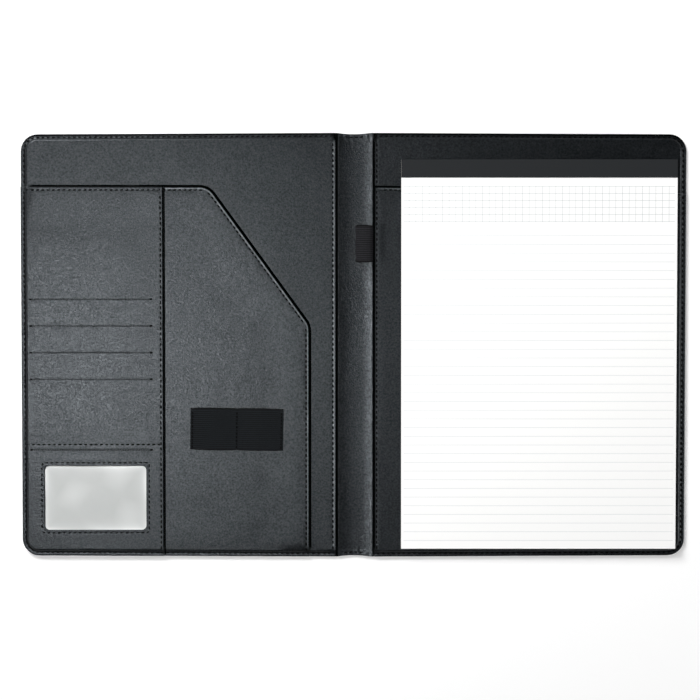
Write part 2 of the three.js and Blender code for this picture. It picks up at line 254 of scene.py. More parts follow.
def add(tree, kind, inputs=None, **settings):
    """Adds a node by its type's name, which starts with ShaderNode, sets its properties, and
    sets or links its inputs. A node given as an input links its first output in use."""
    node = tree.nodes.new("ShaderNode" + kind)
    for name, value in settings.items():
        setattr(node, name, value)
    for name, value in (inputs or {}).items():
        if isinstance(value, bpy.types.Node):
            value = next(output for output in value.outputs if output.enabled)
        if isinstance(value, bpy.types.NodeSocket):
            tree.links.new(value, node.inputs[name])
        else:
            node.inputs[name].default_value = value
    return node


def new_material(name):
    """An empty material, its tree, and the place on the object that its patterns read."""
    material = bpy.data.materials.new(name)
    material.use_nodes = True
    tree = material.node_tree
    tree.nodes.clear()
    return material, tree, add(tree, "TexCoord").outputs["Object"]


# A Mix node's sockets for numbers, vectors and colours share their names, so the two for
# colours go by their numbers.
colour_a, colour_b = 6, 7


def leather_material(name, colour, worn, roughness, grain=1.25 * mm, grain_depth=0.045 * mm):
    """Split leather with an embossed and sprayed black coat: rounded pebbles between fine
    creases, pores, and a soft unevenness over a few centimetres. The creases are painted
    darker as painted shade, and the shine is mottled as the pebbles' tops wear. Where the
    painted light is 1 the leather is painted matt black as painted shade, and below 0 its
    shine is raised as a painted highlight."""
    material, tree, place = new_material(name)
    warp = add(tree, "TexNoise", {"Vector": place, "Scale": 0.35 / grain, "Detail": 2.0})
    shifted = add(tree, "VectorMath",
                  {0: warp.outputs["Color"], 1: (grain, grain, grain)}, operation="MULTIPLY")
    warped = add(tree, "VectorMath", {0: place, 1: shifted}, operation="ADD")
    pebbles = add(tree, "TexVoronoi", {"Vector": warped, "Scale": 1 / grain},
                  feature="DISTANCE_TO_EDGE")
    domes = add(tree, "MapRange", {"Value": pebbles, "From Max": 0.35},
                interpolation_type="SMOOTHSTEP")
    pores = add(tree, "TexNoise", {"Vector": place, "Scale": 3.2 / grain, "Detail": 3.0})
    swell = add(tree, "TexNoise", {"Vector": place, "Scale": 45.0, "Detail": 2.0})
    tone = add(tree, "TexNoise", {"Vector": place, "Scale": 160.0, "Detail": 4.0})
    wear = add(tree, "TexNoise", {"Vector": place, "Scale": 0.9 / grain, "Detail": 2.0})
    pebble = add(tree, "Mix",
                 {0: tone, colour_a: linear(colour), colour_b: linear(worn)}, data_type="RGBA")
    # Painted shade: the creases between the pebbles are coloured darker.
    face = add(tree, "Mix",
               {0: domes, colour_a: linear("060708"), colour_b: pebble}, data_type="RGBA")
    gloss = add(tree, "MapRange",
                {"Value": tone, "To Min": roughness - 0.05, "To Max": roughness + 0.06})
    soft = add(tree, "Bump", {"Height": swell, "Distance": 0.3 * mm})
    fine = add(tree, "Bump", {"Height": pores, "Distance": 0.013 * mm, "Normal": soft})
    bump = add(tree, "Bump", {"Height": domes, "Distance": grain_depth, "Normal": fine})
    # Painted light: at 1 the leather is painted matt black as painted shade, and below 0 its
    # specular level is raised as a painted highlight.
    dye = add(tree, "Attribute", attribute_name="finish").outputs["Fac"]
    painted_shade_face = add(tree, "Mix", {0: dye, colour_a: face, colour_b: linear("020303")}, data_type="RGBA")
    mottle = add(tree, "MapRange", {"Value": wear, "To Min": 0.08, "To Max": 0.92})
    painted_sheen_gain = add(tree, "MapRange",
                 {"Value": dye, "From Min": -2.0, "From Max": 0.0, "To Min": 4.0, "To Max": 1.0})
    painted_sheen = add(tree, "Math", {0: mottle, 1: painted_sheen_gain}, operation="MULTIPLY")
    shine = add(tree, "Mix", {0: dye, 2: painted_sheen, 3: 0.02}, data_type="FLOAT")
    shader = add(tree, "BsdfPrincipled", {
        "Base Color": painted_shade_face, "Roughness": gloss, "IOR": 1.5, "Specular IOR Level": shine,
        "Specular Tint": linear("eff8ff"), "Normal": bump})
    add(tree, "OutputMaterial", {"Surface": shader})
    return material


outer_leather = leather_material("black_outer_leather", "06090c", "0a0e12", 0.34)
lining_leather = leather_material("black_lining_leather", "06090c", "0a0e12", 0.31)

outer_left = outer_half(-1, "outer_leather_left")
outer_right = outer_half(1, "outer_leather_right")
for piece in (outer_left, outer_right):
    piece.data.materials.append(outer_leather)
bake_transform(outer_left)
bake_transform(outer_right)
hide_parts("left_outer_skin", "spine_outer_skin")
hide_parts("right_outer_skin", "spine_outer_skin")


# Boards
# Two millimetres of plain grey board stiffen each cover. They are glued between the outer
# and the inner leather and never seen, so they stay as the frame has them.

def plain_material(name, colour, shade, roughness, scale, depth):
    """Matt pressed fibre, such as board, backing card, binding paper or slot cloth: two near
    colours mottled by noise, and a fine bump."""
    material, tree, place = new_material(name)
    fibre = add(tree, "TexNoise", {"Vector": place, "Scale": scale, "Detail": 4.0})
    face = add(tree, "Mix",
               {0: fibre, colour_a: linear(colour), colour_b: linear(shade)}, data_type="RGBA")
    bump = add(tree, "Bump", {"Height": fibre, "Distance": depth})
    shader = add(tree, "BsdfPrincipled",
                 {"Base Color": face, "Roughness": roughness, "Normal": bump})
    add(tree, "OutputMaterial", {"Surface": shader})
    return material


def dress(node, material):
    """Gives a CAD node's object one material."""
    mesh = frame["nodes"][node].data
    mesh.materials.clear()
    mesh.materials.append(material)


grey_board = plain_material("grey_board", "8d867a", "7c766b", 0.9, 900.0, 0.03 * mm)
dress("left_board", grey_board)
dress("right_board", grey_board)


# Inner leather of the covers
# Each cover's lining is sewn to the outer leather round three sides. Beside the spine its
# edge is folded under and sewn down, so the spine's lining is held beneath it.

left_lining_x, right_lining_x = 14 * mm, 15.9 * mm
inner_seam = 1.8 * mm
square_corner = 0.6 * mm
free_start, free_end = 4 * mm, 8 * mm
middle_base = 3.05 * mm
folded_edge_width = 14 * mm
folded_edge_rise = 0.05
loop_y = 77.7 * mm
loop_length = 27.9 * mm
tab_rise = 0.15 * mm
tab_margin = 3 * mm


def lining_edge(x):
    """Where a cover's lining ends beside the spine, on the side that x is on."""
    return np.where(x < 0, left_lining_x, right_lining_x)


def ply_bottom(level, x, y, rise=0.0):
    """Height of a sheet's underside: on the flange it is low, over the board it is high,
    and a smooth step joins the two. Beside the spine its folded edge stands up a little.
    The level counts the sheets beneath it."""
    near_spine = 1 - smooth_step(0, folded_edge_width, np.abs(x) - lining_edge(x))
    flange = skin + flange_lift + ply_gap + 0.2 * mm * near_spine
    over_board = smooth_step(flange_end, slope_end, cover_inset(x, y))
    board = over_board * (1 + folded_edge_rise * near_spine)
    return flange + (middle_base - flange + rise) * board + level * ply_pitch


def perimeter_dip(x, y):
    """The groove of the seam round a cover's three outer sides."""
    return seam_dip(cover_inset(x, y) - seam_inset, seam_place(x, y), 0.24 * mm, 0.85 * mm)


def rounded_ring(corners, inset, side_points, arc_points=10):
    """A rounded polygon drawn in by the inset. Each corner is x, y and a radius, and its
    arc's radius shrinks by the inset. Each side has evenly spaced points."""
    place = np.array([corner[:2] for corner in corners])
    ahead = np.roll(place, -1, axis=0) - place
    ahead /= np.linalg.norm(ahead, axis=1)[:, None]
    inward = np.stack([-ahead[:, 1], ahead[:, 0]], axis=1)
    arcs = []
    for here, (x, y, radius) in enumerate(corners):
        before = inward[here - 1]
        after = inward[here]
        shrunk = max(radius - inset, 0.05 * mm)
        turn = math.acos(np.clip(before @ after, -1, 1))
        corner = place[here] + inset * (before + after) / (1 + before @ after)
        centre = corner - ahead[here - 1] * shrunk * math.tan(turn / 2) + before * shrunk
        angle = math.atan2(-before[1], -before[0]) + turn * np.linspace(0, 1, arc_points)
        arcs.append(centre + shrunk * np.stack([np.cos(angle), np.sin(angle)], axis=1))
    ring = []
    for here, count in enumerate(side_points):
        share = (np.arange(count) + 1)[:, None] / (count + 1)
        end = arcs[(here + 1) % len(arcs)][0]
        ring += [arcs[here], arcs[here][-1] * (1 - share) + end * share]
    return np.concatenate(ring)


def ring_sheet(name, corners, top, bottom, edge=0.9 * mm, lip=0.0, spacing=1.25 * mm):
    """A closed sheet in a rounded outline: rings at growing insets carry the back, a rim
    rounded by a quarter ellipse and the face, and flat faces close the level middle. A lip
    is the turned-in leather that shows as a thin step below a free edge, and is painted
    black as painted shade. Free edges and the rim at the head are painted black as painted
    shade, and the folds just inside them get a painted highlight."""
    place = np.array([corner[:2] for corner in corners])
    lengths = np.linalg.norm(np.roll(place, -1, axis=0) - place, axis=1)
    side_points = np.maximum(lengths / spacing, 1).astype(int)
    face = np.array([1.3, 1.7, 2.1, 2.5, 2.9, 3.3, 3.7, 4.1, 4.5, 5, 5.6,
                     7, 9, 12, 16, 22, 28, 34]) * mm
    turn = np.radians([15, 30, 50, 70, 90])
    back = face[::-2]
    insets = np.concatenate([back, [-lip, -lip, 0], edge * (1 - np.cos(turn)), face])
    shares = np.concatenate([-np.ones(len(back)), [-1, -0.5, -0.4], np.sin(turn),
                             np.ones(len(face))])
    outline = rounded_ring(corners, 0, side_points)
    free = smooth_step(free_start, free_end, cover_inset(*outline.T))[:, None]
    rings = []
    for inset, share in zip(insets, shares):
        ring = rounded_ring(corners, inset, side_points)
        if inset < 0:
            ring = outline + free * (ring - outline)
        high, low = top(ring[:, 0], ring[:, 1]), bottom(ring[:, 0], ring[:, 1])
        rings.append(np.column_stack([ring, (high + low) / 2 + share * (high - low) / 2]))
    count = len(rings[0])
    last = (len(rings) - 1) * count
    caps = [list(range(count)), list(range(last, last + count))]
    free = free[:, 0]
    by_spine = 1 - smooth_step(17 * mm, 21 * mm, np.abs(outline[:, 0]))
    on_left = outline[:, 0] < 0
    head = smooth_step(head_shade_start, head_shade_end, outline[:, 1])
    fold_start = edge * (0.95 - 0.65 * by_spine)
    fold = (insets[:, None] > fold_start) & (insets[:, None] < 1.8 * mm)
    # Painted shade on the free edges and their lips, except the left lining's spine edge, and on
    # the rim at the head; painted highlight on the folds just inside the free edges.
    dye = (1 - smooth_step(0.5 * edge, edge, insets))[:, None] * free * (1 - by_spine * on_left)
    dye = np.maximum(dye, (1 - smooth_step(0.6 * mm, 3.2 * mm, insets))[:, None] * head)
    dye = dye - fold * free * (np.maximum(1 - by_spine, on_left) + by_spine * on_left)
    faces = grid_faces(len(rings), count, wrap=True) + caps
    return new_piece(name, np.concatenate(rings), faces, 2, dye.ravel())


def lining_corners(side):
    """A cover lining's outline, anticlockwise: square beside the spine, round outside."""
    inner = float(lining_edge(side))
    high_inner, high_outer = half_height(inner), half_height(outer_x)
    right = [
        (inner, -high_inner, square_corner),
        (outer_x, -high_outer, corner_radius),
        (outer_x, high_outer, corner_radius),
        (inner, high_inner, square_corner),
    ]
    return right if side > 0 else [(-x, y, radius) for x, y, radius in right[::-1]]


def spine_side_dip(x, y):
    """The groove of the seam along the lining's folded edge beside the spine."""
    return seam_dip(np.abs(x) - lining_edge(x) - inner_seam, y)


def tab_swell(x, y):
    """The pen loop's sewn tab shows as a low swelling of the right lining beside it."""
    over = smooth_step(0, 2 * tab_margin, loop_length / 2 + tab_margin - np.abs(y - loop_y))
    return tab_rise * over * (x > 0) * (1 - smooth_step(20 * mm, 24.5 * mm, np.abs(x)))


def lining_top(x, y):
    """Face of a cover's lining: its underside, its thickness, and its two seams' grooves."""
    seams = perimeter_dip(x, y) + spine_side_dip(x, y)
    return ply_bottom(0, x, y) + leather - seams + tab_swell(x, y)


def lining_bottom(x, y):
    """Back of a cover's lining."""
    return ply_bottom(0, x, y)


left_lining = ring_sheet("left_cover_lining", lining_corners(-1), lining_top, lining_bottom)
right_lining = ring_sheet("right_cover_lining", lining_corners(1), lining_top, lining_bottom)
for piece, body, node in (
    (left_lining, "left_cover", "left_lining"),
    (right_lining, "right_cover", "right_lining"),
):
    piece.data.materials.append(lining_leather)
    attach(piece, body)
    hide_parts(node)


# Spine lining
# A strip of the same leather. It sags between the covers as a trough, rises to a soft
# ridge at each hinge, and dives into a crevice under the covers' linings, painted black as shade.

trough_low = 1.75 * mm
ridge_rise = 0.65 * mm
crevice_width, crevice_depth = 1.5 * mm, 0.3 * mm
pleat_rise, pleat_length = 0.16 * mm, 4.5 * mm
wander_rise = 0.07 * mm
left_ridge_x, right_ridge_x = 11.6 * mm, 14.6 * mm


def past_ridge(x):
    """Distance from the ridge towards the cover, below zero in the trough."""
    return np.abs(x) - np.where(x < 0, left_ridge_x, right_ridge_x)


def spine_top(x, y):
    """Face of the spine lining: a power curve up to the ridge, a smooth step down into the
    crevice, and short creases that gather at the sewn ends and die out in a centimetre."""
    across = np.clip(np.abs(x) / (np.abs(x) - past_ridge(x)), 0, 1)
    rise = crevice_depth + ridge_rise * across**2
    dive = 1 - smooth_step(0, crevice_width, past_ridge(x))
    end = half_height(x) - np.abs(y)
    sway = 1.6 * np.sin(x / (2.9 * mm) + y / (6 * mm))
    pleats = np.sin(x / (1.15 * mm) + sway + 0.8 * np.sign(y))
    gather = pleat_rise * pleats * np.exp(-end / pleat_length)
    wander = wander_rise * np.sin(y / (17 * mm) + x / (5 * mm)) * np.sin(y / (7.3 * mm) + 2)
    press = seam_dip(end - seam_inset, x)
    floor = trough_low - crevice_depth + rim_lift(x, y)
    return floor + (rise + gather + wander) * dive - press


def spine_half(side, name):
    """Half of the spine lining, as a closed sheet with rounded ends. Its right slope up to
    the ridge gets a painted highlight, its left side painted shade, and its crevices are
    painted black as shade."""
    across = [0, 0.1, 0.3, *np.arange(0.8, 10.1, 0.8), *np.arange(10.4, 17.3, 0.4)]
    across = np.array(across) * mm
    ends = np.array([0, 0.03, 0.13, 0.29, 0.5, 1, 1.6, 2, 2.4, 2.8, 3.4, 4.2, 5.2, 6.4,
                     8, 10, 12.5]) * mm
    up = edge_half_height - ends[::-1]
    along = np.concatenate([-up[::-1], np.linspace(-up[0], up[0], 90)[1:-1], up])
    x, v = np.meshgrid(side * across, along)
    y = v * half_height(x) / edge_half_height
    drop = rim_drop(half_height(x) - np.abs(y), 0.5 * mm, 0.35 * mm)
    top = spine_top(x, y)
    bottom = np.maximum(top - leather + drop, skin + rim_lift(x, y) + 0.02 * mm)
    # Painted highlight on the right slope before the ridge, painted shade on the left side, and
    # painted black shade in the crevices.
    before_ridge = 1 - smooth_step(-0.8 * mm, 0, past_ridge(x))
    painted_sheen = 0.7 * smooth_step(5.5 * mm, 13 * mm, x) * before_ridge
    shade = 0.22 * (1 - smooth_step(-9 * mm, 4 * mm, x))
    crevice = smooth_step(-0.7 * mm * (x < 0), 0.8 * mm, past_ridge(x))
    dye = np.maximum(crevice, shade) - painted_sheen
    return closed_sheet(name, x, y, top - drop, bottom, dye)


spine_leather = leather_material("black_spine_leather", "06090c", "0a0e12", 0.31,
                                 1.5 * mm, 0.08 * mm)
spine_left = spine_half(-1, "spine_lining_left")
spine_right = spine_half(1, "spine_lining_right")
for piece in (spine_left, spine_right):
    piece.data.materials.append(spine_leather)
    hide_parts("spine_lining")
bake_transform(spine_left)
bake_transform(spine_right)


# Pen loop
# A short length of black ribbed elastic, folded into a loop. Both ends are sewn under the
# edge of the right lining, and the loop leans over the spine.

webbing = 1 * mm
wave_scale = 0.314  # of a Wave texture whose bands are one unit apart


def spline(points, count):
    """A smooth curve through the points (Catmull-Rom), at evenly spaced parameters."""
    points = np.array(points, float)
    padded = np.vstack([2 * points[0] - points[1], points, 2 * points[-1] - points[-2]])
    place = np.linspace(0, len(points) - 1 - 1e-9, count)
    at = place.astype(int)
    t = (place - at)[:, None]
    a, b, c, d = (padded[at + step] for step in range(4))
    square = (2 * a - 5 * b + 4 * c - d) * t**2
    cube = (3 * b - a - 3 * c + d) * t**3
    return 0.5 * (2 * b + (c - a) * t + square + cube)


def ribbed_strip(name, path, width, rib, rib_height):
    """Webbing as a closed sheet along a path in x and z: the path is offset both ways along
    its normal by half the thickness, and ribs along it swell the face by a sine. Painted
    shade darkens the grooves between the ribs and the two selvedges."""
    ahead = np.gradient(path, axis=0)
    ahead /= np.linalg.norm(ahead, axis=1)[:, None]
    normal = np.stack([-ahead[:, 1], ahead[:, 0]], axis=1)
    ribs = int(round(width / rib))
    across = np.linspace(-0.5, 0.5, ribs * 6 + 1)
    ridge = rib_height * (np.abs(np.sin(math.pi * (across + 0.5) * ribs)) - 0.5)
    past_flat = np.clip(np.abs(across) * width - (width - webbing) / 2, 0, None)
    rim = np.sqrt(np.clip(1 - (past_flat / (webbing / 2)) ** 2, 0, 1))
    half = (webbing / 2 + ridge) * rim
    sheets = []
    for side in (1, -1):
        place = path[None, :, :] + side * half[:, None, None] * normal[None, :, :]
        y = np.broadcast_to((across * width)[:, None], place.shape[:2])
        sheets.append(np.stack([place[:, :, 0], y, place[:, :, 1]], axis=2))
    rows, columns = sheets[0].shape[:2]
    size = rows * columns
    points = np.concatenate([sheet.reshape(-1, 3) for sheet in sheets])
    number = np.arange(size).reshape(rows, columns)
    walls = [np.stack([line[:-1], line[1:], line[1:] + size, line[:-1] + size], axis=1)
             for line in (number[0], number[-1], number[:, 0], number[:, -1])]
    faces = grid_faces(rows, columns) + grid_faces(rows, columns, size)
    # Painted shade in the grooves between the ribs and along the two selvedges.
    groove = 1 - np.abs(np.sin(math.pi * (across + 0.5) * ribs))
    selvedge = smooth_step(width / 2 - 1 * mm, width / 2 - 0.6 * mm, np.abs(across) * width)
    dye = np.tile(np.repeat(np.maximum(groove, selvedge), columns), 2)
    return new_piece(name, points, faces + np.concatenate(walls).tolist(), 0, dye)


def webbing_material(name, colour, shade, rib):
    """Woven polyester elastic: weft lines across the ribs, drawn coarser than real ones so
    that they show, grooves between the ribs painted dark as painted shade, and fluff."""
    material, tree, place = new_material(name)
    weft = add(tree, "TexWave",
               {"Vector": place, "Scale": wave_scale / rib, "Distortion": 0.6, "Detail": 1.0},
               bands_direction="X")
    fluff = add(tree, "TexNoise", {"Vector": place, "Scale": 2200.0, "Detail": 3.0})
    yarn = add(tree, "Mix",
               {0: fluff, colour_a: linear(colour), colour_b: linear(shade)}, data_type="RGBA")
    # Painted shade: the grooves and selvedges are mixed towards black.
    groove = add(tree, "Attribute", attribute_name="finish").outputs["Fac"]
    face = add(tree, "Mix",
               {0: groove, colour_a: yarn, colour_b: linear("020202")}, data_type="RGBA")
    first = add(tree, "Bump", {"Height": weft.outputs["Fac"], "Distance": 0.08 * mm})
    second = add(tree, "Bump", {"Height": fluff, "Distance": 0.06 * mm, "Normal": first})
    shader = add(tree, "BsdfPrincipled", {
        "Base Color": face, "Roughness": 0.9, "Specular IOR Level": 0.2, "Normal": second})
    add(tree, "OutputMaterial", {"Surface": shader})
    return material


loop_path = spline([
    (19.2, 1.95), (16.6, 2.05), (13.6, 3.3), (9.8, 2.8), (6.0, 2.6), (3.3, 3.2), (2.0, 5.2),
    (2.9, 7.8), (5.4, 9.2), (9.4, 9.1), (12.6, 7.8), (14.2, 5.4), (15.0, 3.3), (16.8, 2.3),
    (19.2, 2.2),
], 90) * mm
loop_webbing = webbing_material("black_loop_webbing", "1b1b1e", "2b2b2f", 1.1 * mm)
pen_loop = ribbed_strip("pen_loop_webbing", loop_path, loop_length, 1.65 * mm, 0.26 * mm)
pen_loop.data.transform(Matrix.Translation((0, loop_y, 0)))
pen_loop.data.materials.append(loop_webbing)
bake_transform(pen_loop)
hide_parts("pen_loop")


# Document pocket
# A large pocket of the same leather on the left cover, open at the head and along a
# slanting mouth. Its free edges are folded under and sewn, so they are thicker.

pocket_head = 121.4 * mm
pocket_right = -33.6 * mm
pocket_corners = [
    (-outer_x, -half_height(outer_x), corner_radius),
    (pocket_right, -half_height(pocket_right), square_corner),
    (pocket_right, pocket_head - 105.7 * mm, 14 * mm),
    (pocket_right - 77 * mm, pocket_head, 14 * mm),
    (-outer_x, pocket_head, square_corner),
]
pocket_seam = 2.7 * mm
hem_rise = 0.5 * mm
hem_start, hem_end = 4 * mm, 34 * mm


def line_distances(x, y, corners, sides):
    """Distance in from each named side of a polygon, and the place along that side."""
    inward, along = [], []
    for side in sides:
        start = np.array(corners[side][:2])
        ahead = np.array(corners[(side + 1) % len(corners)][:2]) - start
        ahead /= np.linalg.norm(ahead)
        inward.append(ahead[0] * (y - start[1]) - ahead[1] * (x - start[0]))
        along.append(ahead[0] * (x - start[0]) + ahead[1] * (y - start[1]))
    return np.array(inward), np.array(along)


def hem(x, y, corners, sides, seam, rise):
    """A folded and sewn edge: the double leather lifts the face by a smooth step that dies
    out behind it, and the seam presses a groove into it."""
    inward, along = line_distances(x, y, corners, sides)
    nearest = inward.min(axis=0)
    place = np.take_along_axis(along, inward.argmin(axis=0)[None], axis=0)[0]
    inside = smooth_step(4 * mm, 10 * mm, cover_inset(x, y))
    lift = rise * (1 - smooth_step(hem_start, hem_end, nearest)) * inside
    return lift - seam_dip(nearest - seam, place)


def pocket_top(x, y):
    """Face of the document pocket, with its hem and the cover's outer seam."""
    fold = hem(x, y, pocket_corners, (1, 2, 3), pocket_seam, hem_rise)
    return ply_bottom(1, x, y) + leather - perimeter_dip(x, y) + fold


def pocket_bottom(x, y):
    """Back of the document pocket, which lies on the lining."""
    return ply_bottom(1, x, y)


document_pocket = ring_sheet("document_pocket_leather", pocket_corners, pocket_top,
                             pocket_bottom, 1.2 * mm, 1.25 * mm)
document_pocket.data.materials.append(lining_leather)
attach(document_pocket, "left_cover")
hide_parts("document_pocket")


# Card panel
# A second panel sewn over the pocket's outer part. Five slots are cut into it, the four
# card slots each with thin black cloth behind it, and an opening for an identity card is
# closed by milky film.

panel_right = -145.2 * mm
slot_left, slot_right = -246.3 * mm, -154.9 * mm
id_slot_place = -79.8 * mm
slot_places = (*(np.array([35.5, 15.1, -5.3, -25.7]) * mm), id_slot_place)
panel_seam_place = -75.7 * mm
window_left, window_right = -236.4 * mm, -158.8 * mm
window_foot, window_head = -141.2 * mm, -92.0 * mm
window_centre = ((window_left + window_right) / 2, (window_foot + window_head) / 2)
window_radius = 3.5 * mm
slot_half = 0.09 * mm
card_slot_shade, id_slot_shade, slot_shade_width = 0.35, 0.7, 0.8 * mm
panel_rise = 0.6 * mm
panel_rim_width, panel_rim_height = 1.1 * mm, 0.3 * mm
window_rim_width = 0.6 * mm
panel_seam = 2.2 * mm
window_seam = 2.3 * mm
film_wave = 0.1 * mm
# Strength and reach of the painted highlight on the film.
edge_highlight, edge_highlight_width, blotch_highlight = 0.95, 2.4 * mm, 0.22


def panel_lines(low, high, spacing, *places):
    """Evenly spaced grid lines, with finer ones round each place in the list."""
    one_side = np.array([0.3, 0.6, 0.9, 1.3, 1.8, 2.4, 3.2]) * mm
    fine = np.concatenate([-one_side[::-1], [0], one_side])
    marks = np.concatenate([place + fine for place in places])
    marks = marks[(marks > low) & (marks < high)]
    even = np.linspace(low, high, int((high - low) / spacing) + 1)
    clear = np.abs(even[:, None] - np.array(places)[None, :]).min(axis=1) > 3.6 * mm
    clear[[0, -1]] = True
    lines = np.unique(np.concatenate([even[clear], marks]))
    return lines[np.concatenate([[True], np.diff(lines) > 0.02 * mm])]


def past_window_arc(x, y):
    """How far a place lies past the centre of its window corner's arc, across and along."""
    across = np.abs(x - window_centre[0]) - (window_right - window_left) / 2
    along = np.abs(y - window_centre[1]) - (window_head - window_foot) / 2
    return across + window_radius, along + window_radius


def window_distance(x, y):
    """Distance out from the window's rounded opening, below zero inside it."""
    p, q = past_window_arc(x, y)
    outside = np.hypot(np.maximum(p, 0), np.maximum(q, 0)) + np.minimum(np.maximum(p, q), 0)
    return outside - window_radius


def panel_bottom(x, y):
    """Back of the card panel: sewn down at its right and head edges, it swells over the
    slots' cloths and the film, and dips a little at the closing row."""
    swell = smooth_step(1 * mm, 42 * mm, panel_right - x)
    swell = swell * smooth_step(1 * mm, 50 * mm, pocket_head - y)
    valley = 1 - 0.2 * np.exp(-(((y - panel_seam_place) / (8 * mm)) ** 2))
    over_board = smooth_step(flange_end, slope_end, cover_inset(x, y))
    return ply_bottom(2, x, y) + panel_rise * swell * valley * over_board


def panel_top(x, y):
    """Face of the card panel. The slots' lower lips stand up a little, and the hem, the
    closing row and the window's row press it down."""
    from_right = panel_right - x
    lips = np.zeros_like(x)
    within = smooth_step(-1 * mm, 3 * mm, x - slot_left)
    within = within * smooth_step(-1 * mm, 3 * mm, slot_right - x)
    for place in slot_places:
        below = place - y
        lips += within * (0.06 * mm * np.exp(-((below - 1.2 * mm) / (1.3 * mm)) ** 2)
                          - 0.05 * mm * np.exp(-((below + 0.6 * mm) / (0.7 * mm)) ** 2))
    beside_window = (y > window_foot) & (y < window_head)
    window_row = seam_dip(window_distance(x, y) - window_seam, np.where(beside_window, y, x))
    rows = seam_dip(y - panel_seam_place, x) + window_row
    side = seam_dip(from_right - panel_seam, y)
    fold = hem(x, y, pocket_corners, (3,), pocket_seam, hem_rise)
    return panel_bottom(x, y) + leather + lips + fold - rows - side - perimeter_dip(x, y)


def card_panel_sheet():
    """The card panel on a grid: the cells inside each slot and the window are left out, and
    the window's corners are rounded by pulling grid points onto arcs."""
    foot = -half_height(outer_x)
    across = panel_lines(-outer_x, panel_right, 2.2 * mm, slot_left, slot_right, window_left,
                         window_right, -outer_x + seam_inset, panel_right - panel_seam)
    along = panel_lines(foot, pocket_head, 1.3 * mm, *slot_places, window_foot,
                        window_head, foot + seam_inset, pocket_head - pocket_seam)
    for exact in slot_places:
        along = along[np.abs(np.abs(along - exact) - slot_half) > 0.04 * mm]
        along = np.sort(np.append(along, [exact - slot_half, exact + slot_half]))
    square_x, square_y = np.meshgrid(across, along)
    fixed = window_foot - 8 * mm
    stretch = (half_height(square_x) + fixed) / (fixed - foot)
    y = np.where(square_y < fixed, fixed + (square_y - fixed) * stretch, square_y)
    x, y = round_corners(square_x, y)
    p, q = past_window_arc(x, y)
    reach = np.maximum(p, q)
    bend = (1 - reach / np.maximum(np.hypot(p, q), 1e-9)) * ((p > 0) & (q > 0))
    bend = bend * (1 - np.clip((reach / window_radius - 1) / 1.2, 0, 1))
    x = x - np.sign(x - window_centre[0]) * p * bend
    y = y - np.sign(y - window_centre[1]) * q * bend
    middle_x = (square_x[:-1, :-1] + square_x[1:, 1:]) / 2
    middle_y = (square_y[:-1, :-1] + square_y[1:, 1:]) / 2
    open_cell = ((middle_x > window_left) & (middle_x < window_right)
                 & (middle_y > window_foot) & (middle_y < window_head))
    for place in slot_places:
        open_cell |= ((middle_x > slot_left) & (middle_x < slot_right)
                      & (np.abs(middle_y - place) < slot_half))
    rim = np.minimum(cover_inset(x, y), np.minimum(panel_right - x, pocket_head - y))
    inner_rim = np.abs(window_distance(x, y))
    drop = np.maximum(rim_drop(np.clip(rim, 0, None), panel_rim_width, panel_rim_height),
                      rim_drop(inner_rim, window_rim_width, panel_rim_height))
    # Painted shade on the free edges and round the window, a painted highlight on the folds inside
    # the free edges, and painted shade along each slot.
    free = smooth_step(free_start, free_end, cover_inset(x, y))
    dye = np.maximum((1 - smooth_step(0.6 * mm, panel_rim_width, rim)) * free,
                     1 - smooth_step(0.1 * mm, 0.5 * mm, inner_rim))
    dye = dye - ((rim > 1.05 * mm) & (rim < 1.8 * mm)) * free
    for place in slot_places:
        strength = id_slot_shade if place == id_slot_place else card_slot_shade
        line = strength * np.exp(-(((y - place) / slot_shade_width) ** 2))
        dye = np.maximum(dye, line * ((x > slot_left) & (x < slot_right)))
    return closed_sheet("card_panel_leather", x, y, panel_top(x, y) - drop,
                        panel_bottom(x, y) + drop, dye, ~open_cell)


def edge_shadow_strip():
    """A thin black strip on the pocket beside the panel's right edge: a painted shadow where the
    edge meets the pocket.
    """
    foot = -half_height(panel_right)
    x, y = np.meshgrid(np.linspace(panel_right - 0.4 * mm, panel_right + 1.3 * mm, 6),
                       np.linspace(foot + 1.2 * mm, pocket_head - 1.2 * mm, 180))
    top = pocket_top(x, y)
    return closed_sheet("card_panel_turned_edge", x, y, top + 0.2 * mm, top - 0.1 * mm,
                        np.ones_like(x))


card_panel = card_panel_sheet()
panel_edge = edge_shadow_strip()
panel_edge.data.materials.append(lining_leather)
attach(panel_edge, "left_cover")
card_panel.data.materials.append(lining_leather)
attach(card_panel, "left_cover")
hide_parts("card_panel")
slot_cloth = plain_material("black_slot_cloth", "0b0c0d", "131415", 0.85, 4000.0, 0.02 * mm)
for number in range(1, 5):
    dress(f"card_slot_backing_{number}", slot_cloth)


def window_film():
    """The film: a thin sheet that waves by a tenth of a millimetre, as flexible film does
    when it is sewn in. A painted highlight falls off exponentially from the edge, with soft
    blotches of painted highlight."""
    low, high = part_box("id_window_film")
    x, y = np.meshgrid(np.linspace(low[0], high[0], 60), np.linspace(low[1], high[1], 42))
    from_edge = np.minimum(window_distance(x, y), 0)
    wave = film_wave * np.sin(x / (9 * mm) + 1.1 * np.sin(y / (13 * mm)))
    wave *= np.cos(y / (11 * mm) + x / (31 * mm)) * (1 + 1.5 * np.exp(from_edge / (6 * mm)))
    # Painted highlight: paler towards the edge and in soft blotches.
    painted_highlight = edge_highlight * np.exp(from_edge / edge_highlight_width)
    painted_highlight *= 0.75 + 0.25 * np.sin(x / (11 * mm) + y / (7 * mm))
    blotches = np.sin(x / (8 * mm) + 1.1 * np.sin(y / (12 * mm)))
    blotches *= np.cos(y / (9 * mm) + x / (23 * mm))
    painted_highlight += blotch_highlight * np.clip(blotches, 0, 1)
    return closed_sheet("id_window_film_sheet", x, y, high[2] - 0.25 * mm + wave,
                        low[2] - 0.15 * mm + wave, painted_highlight)


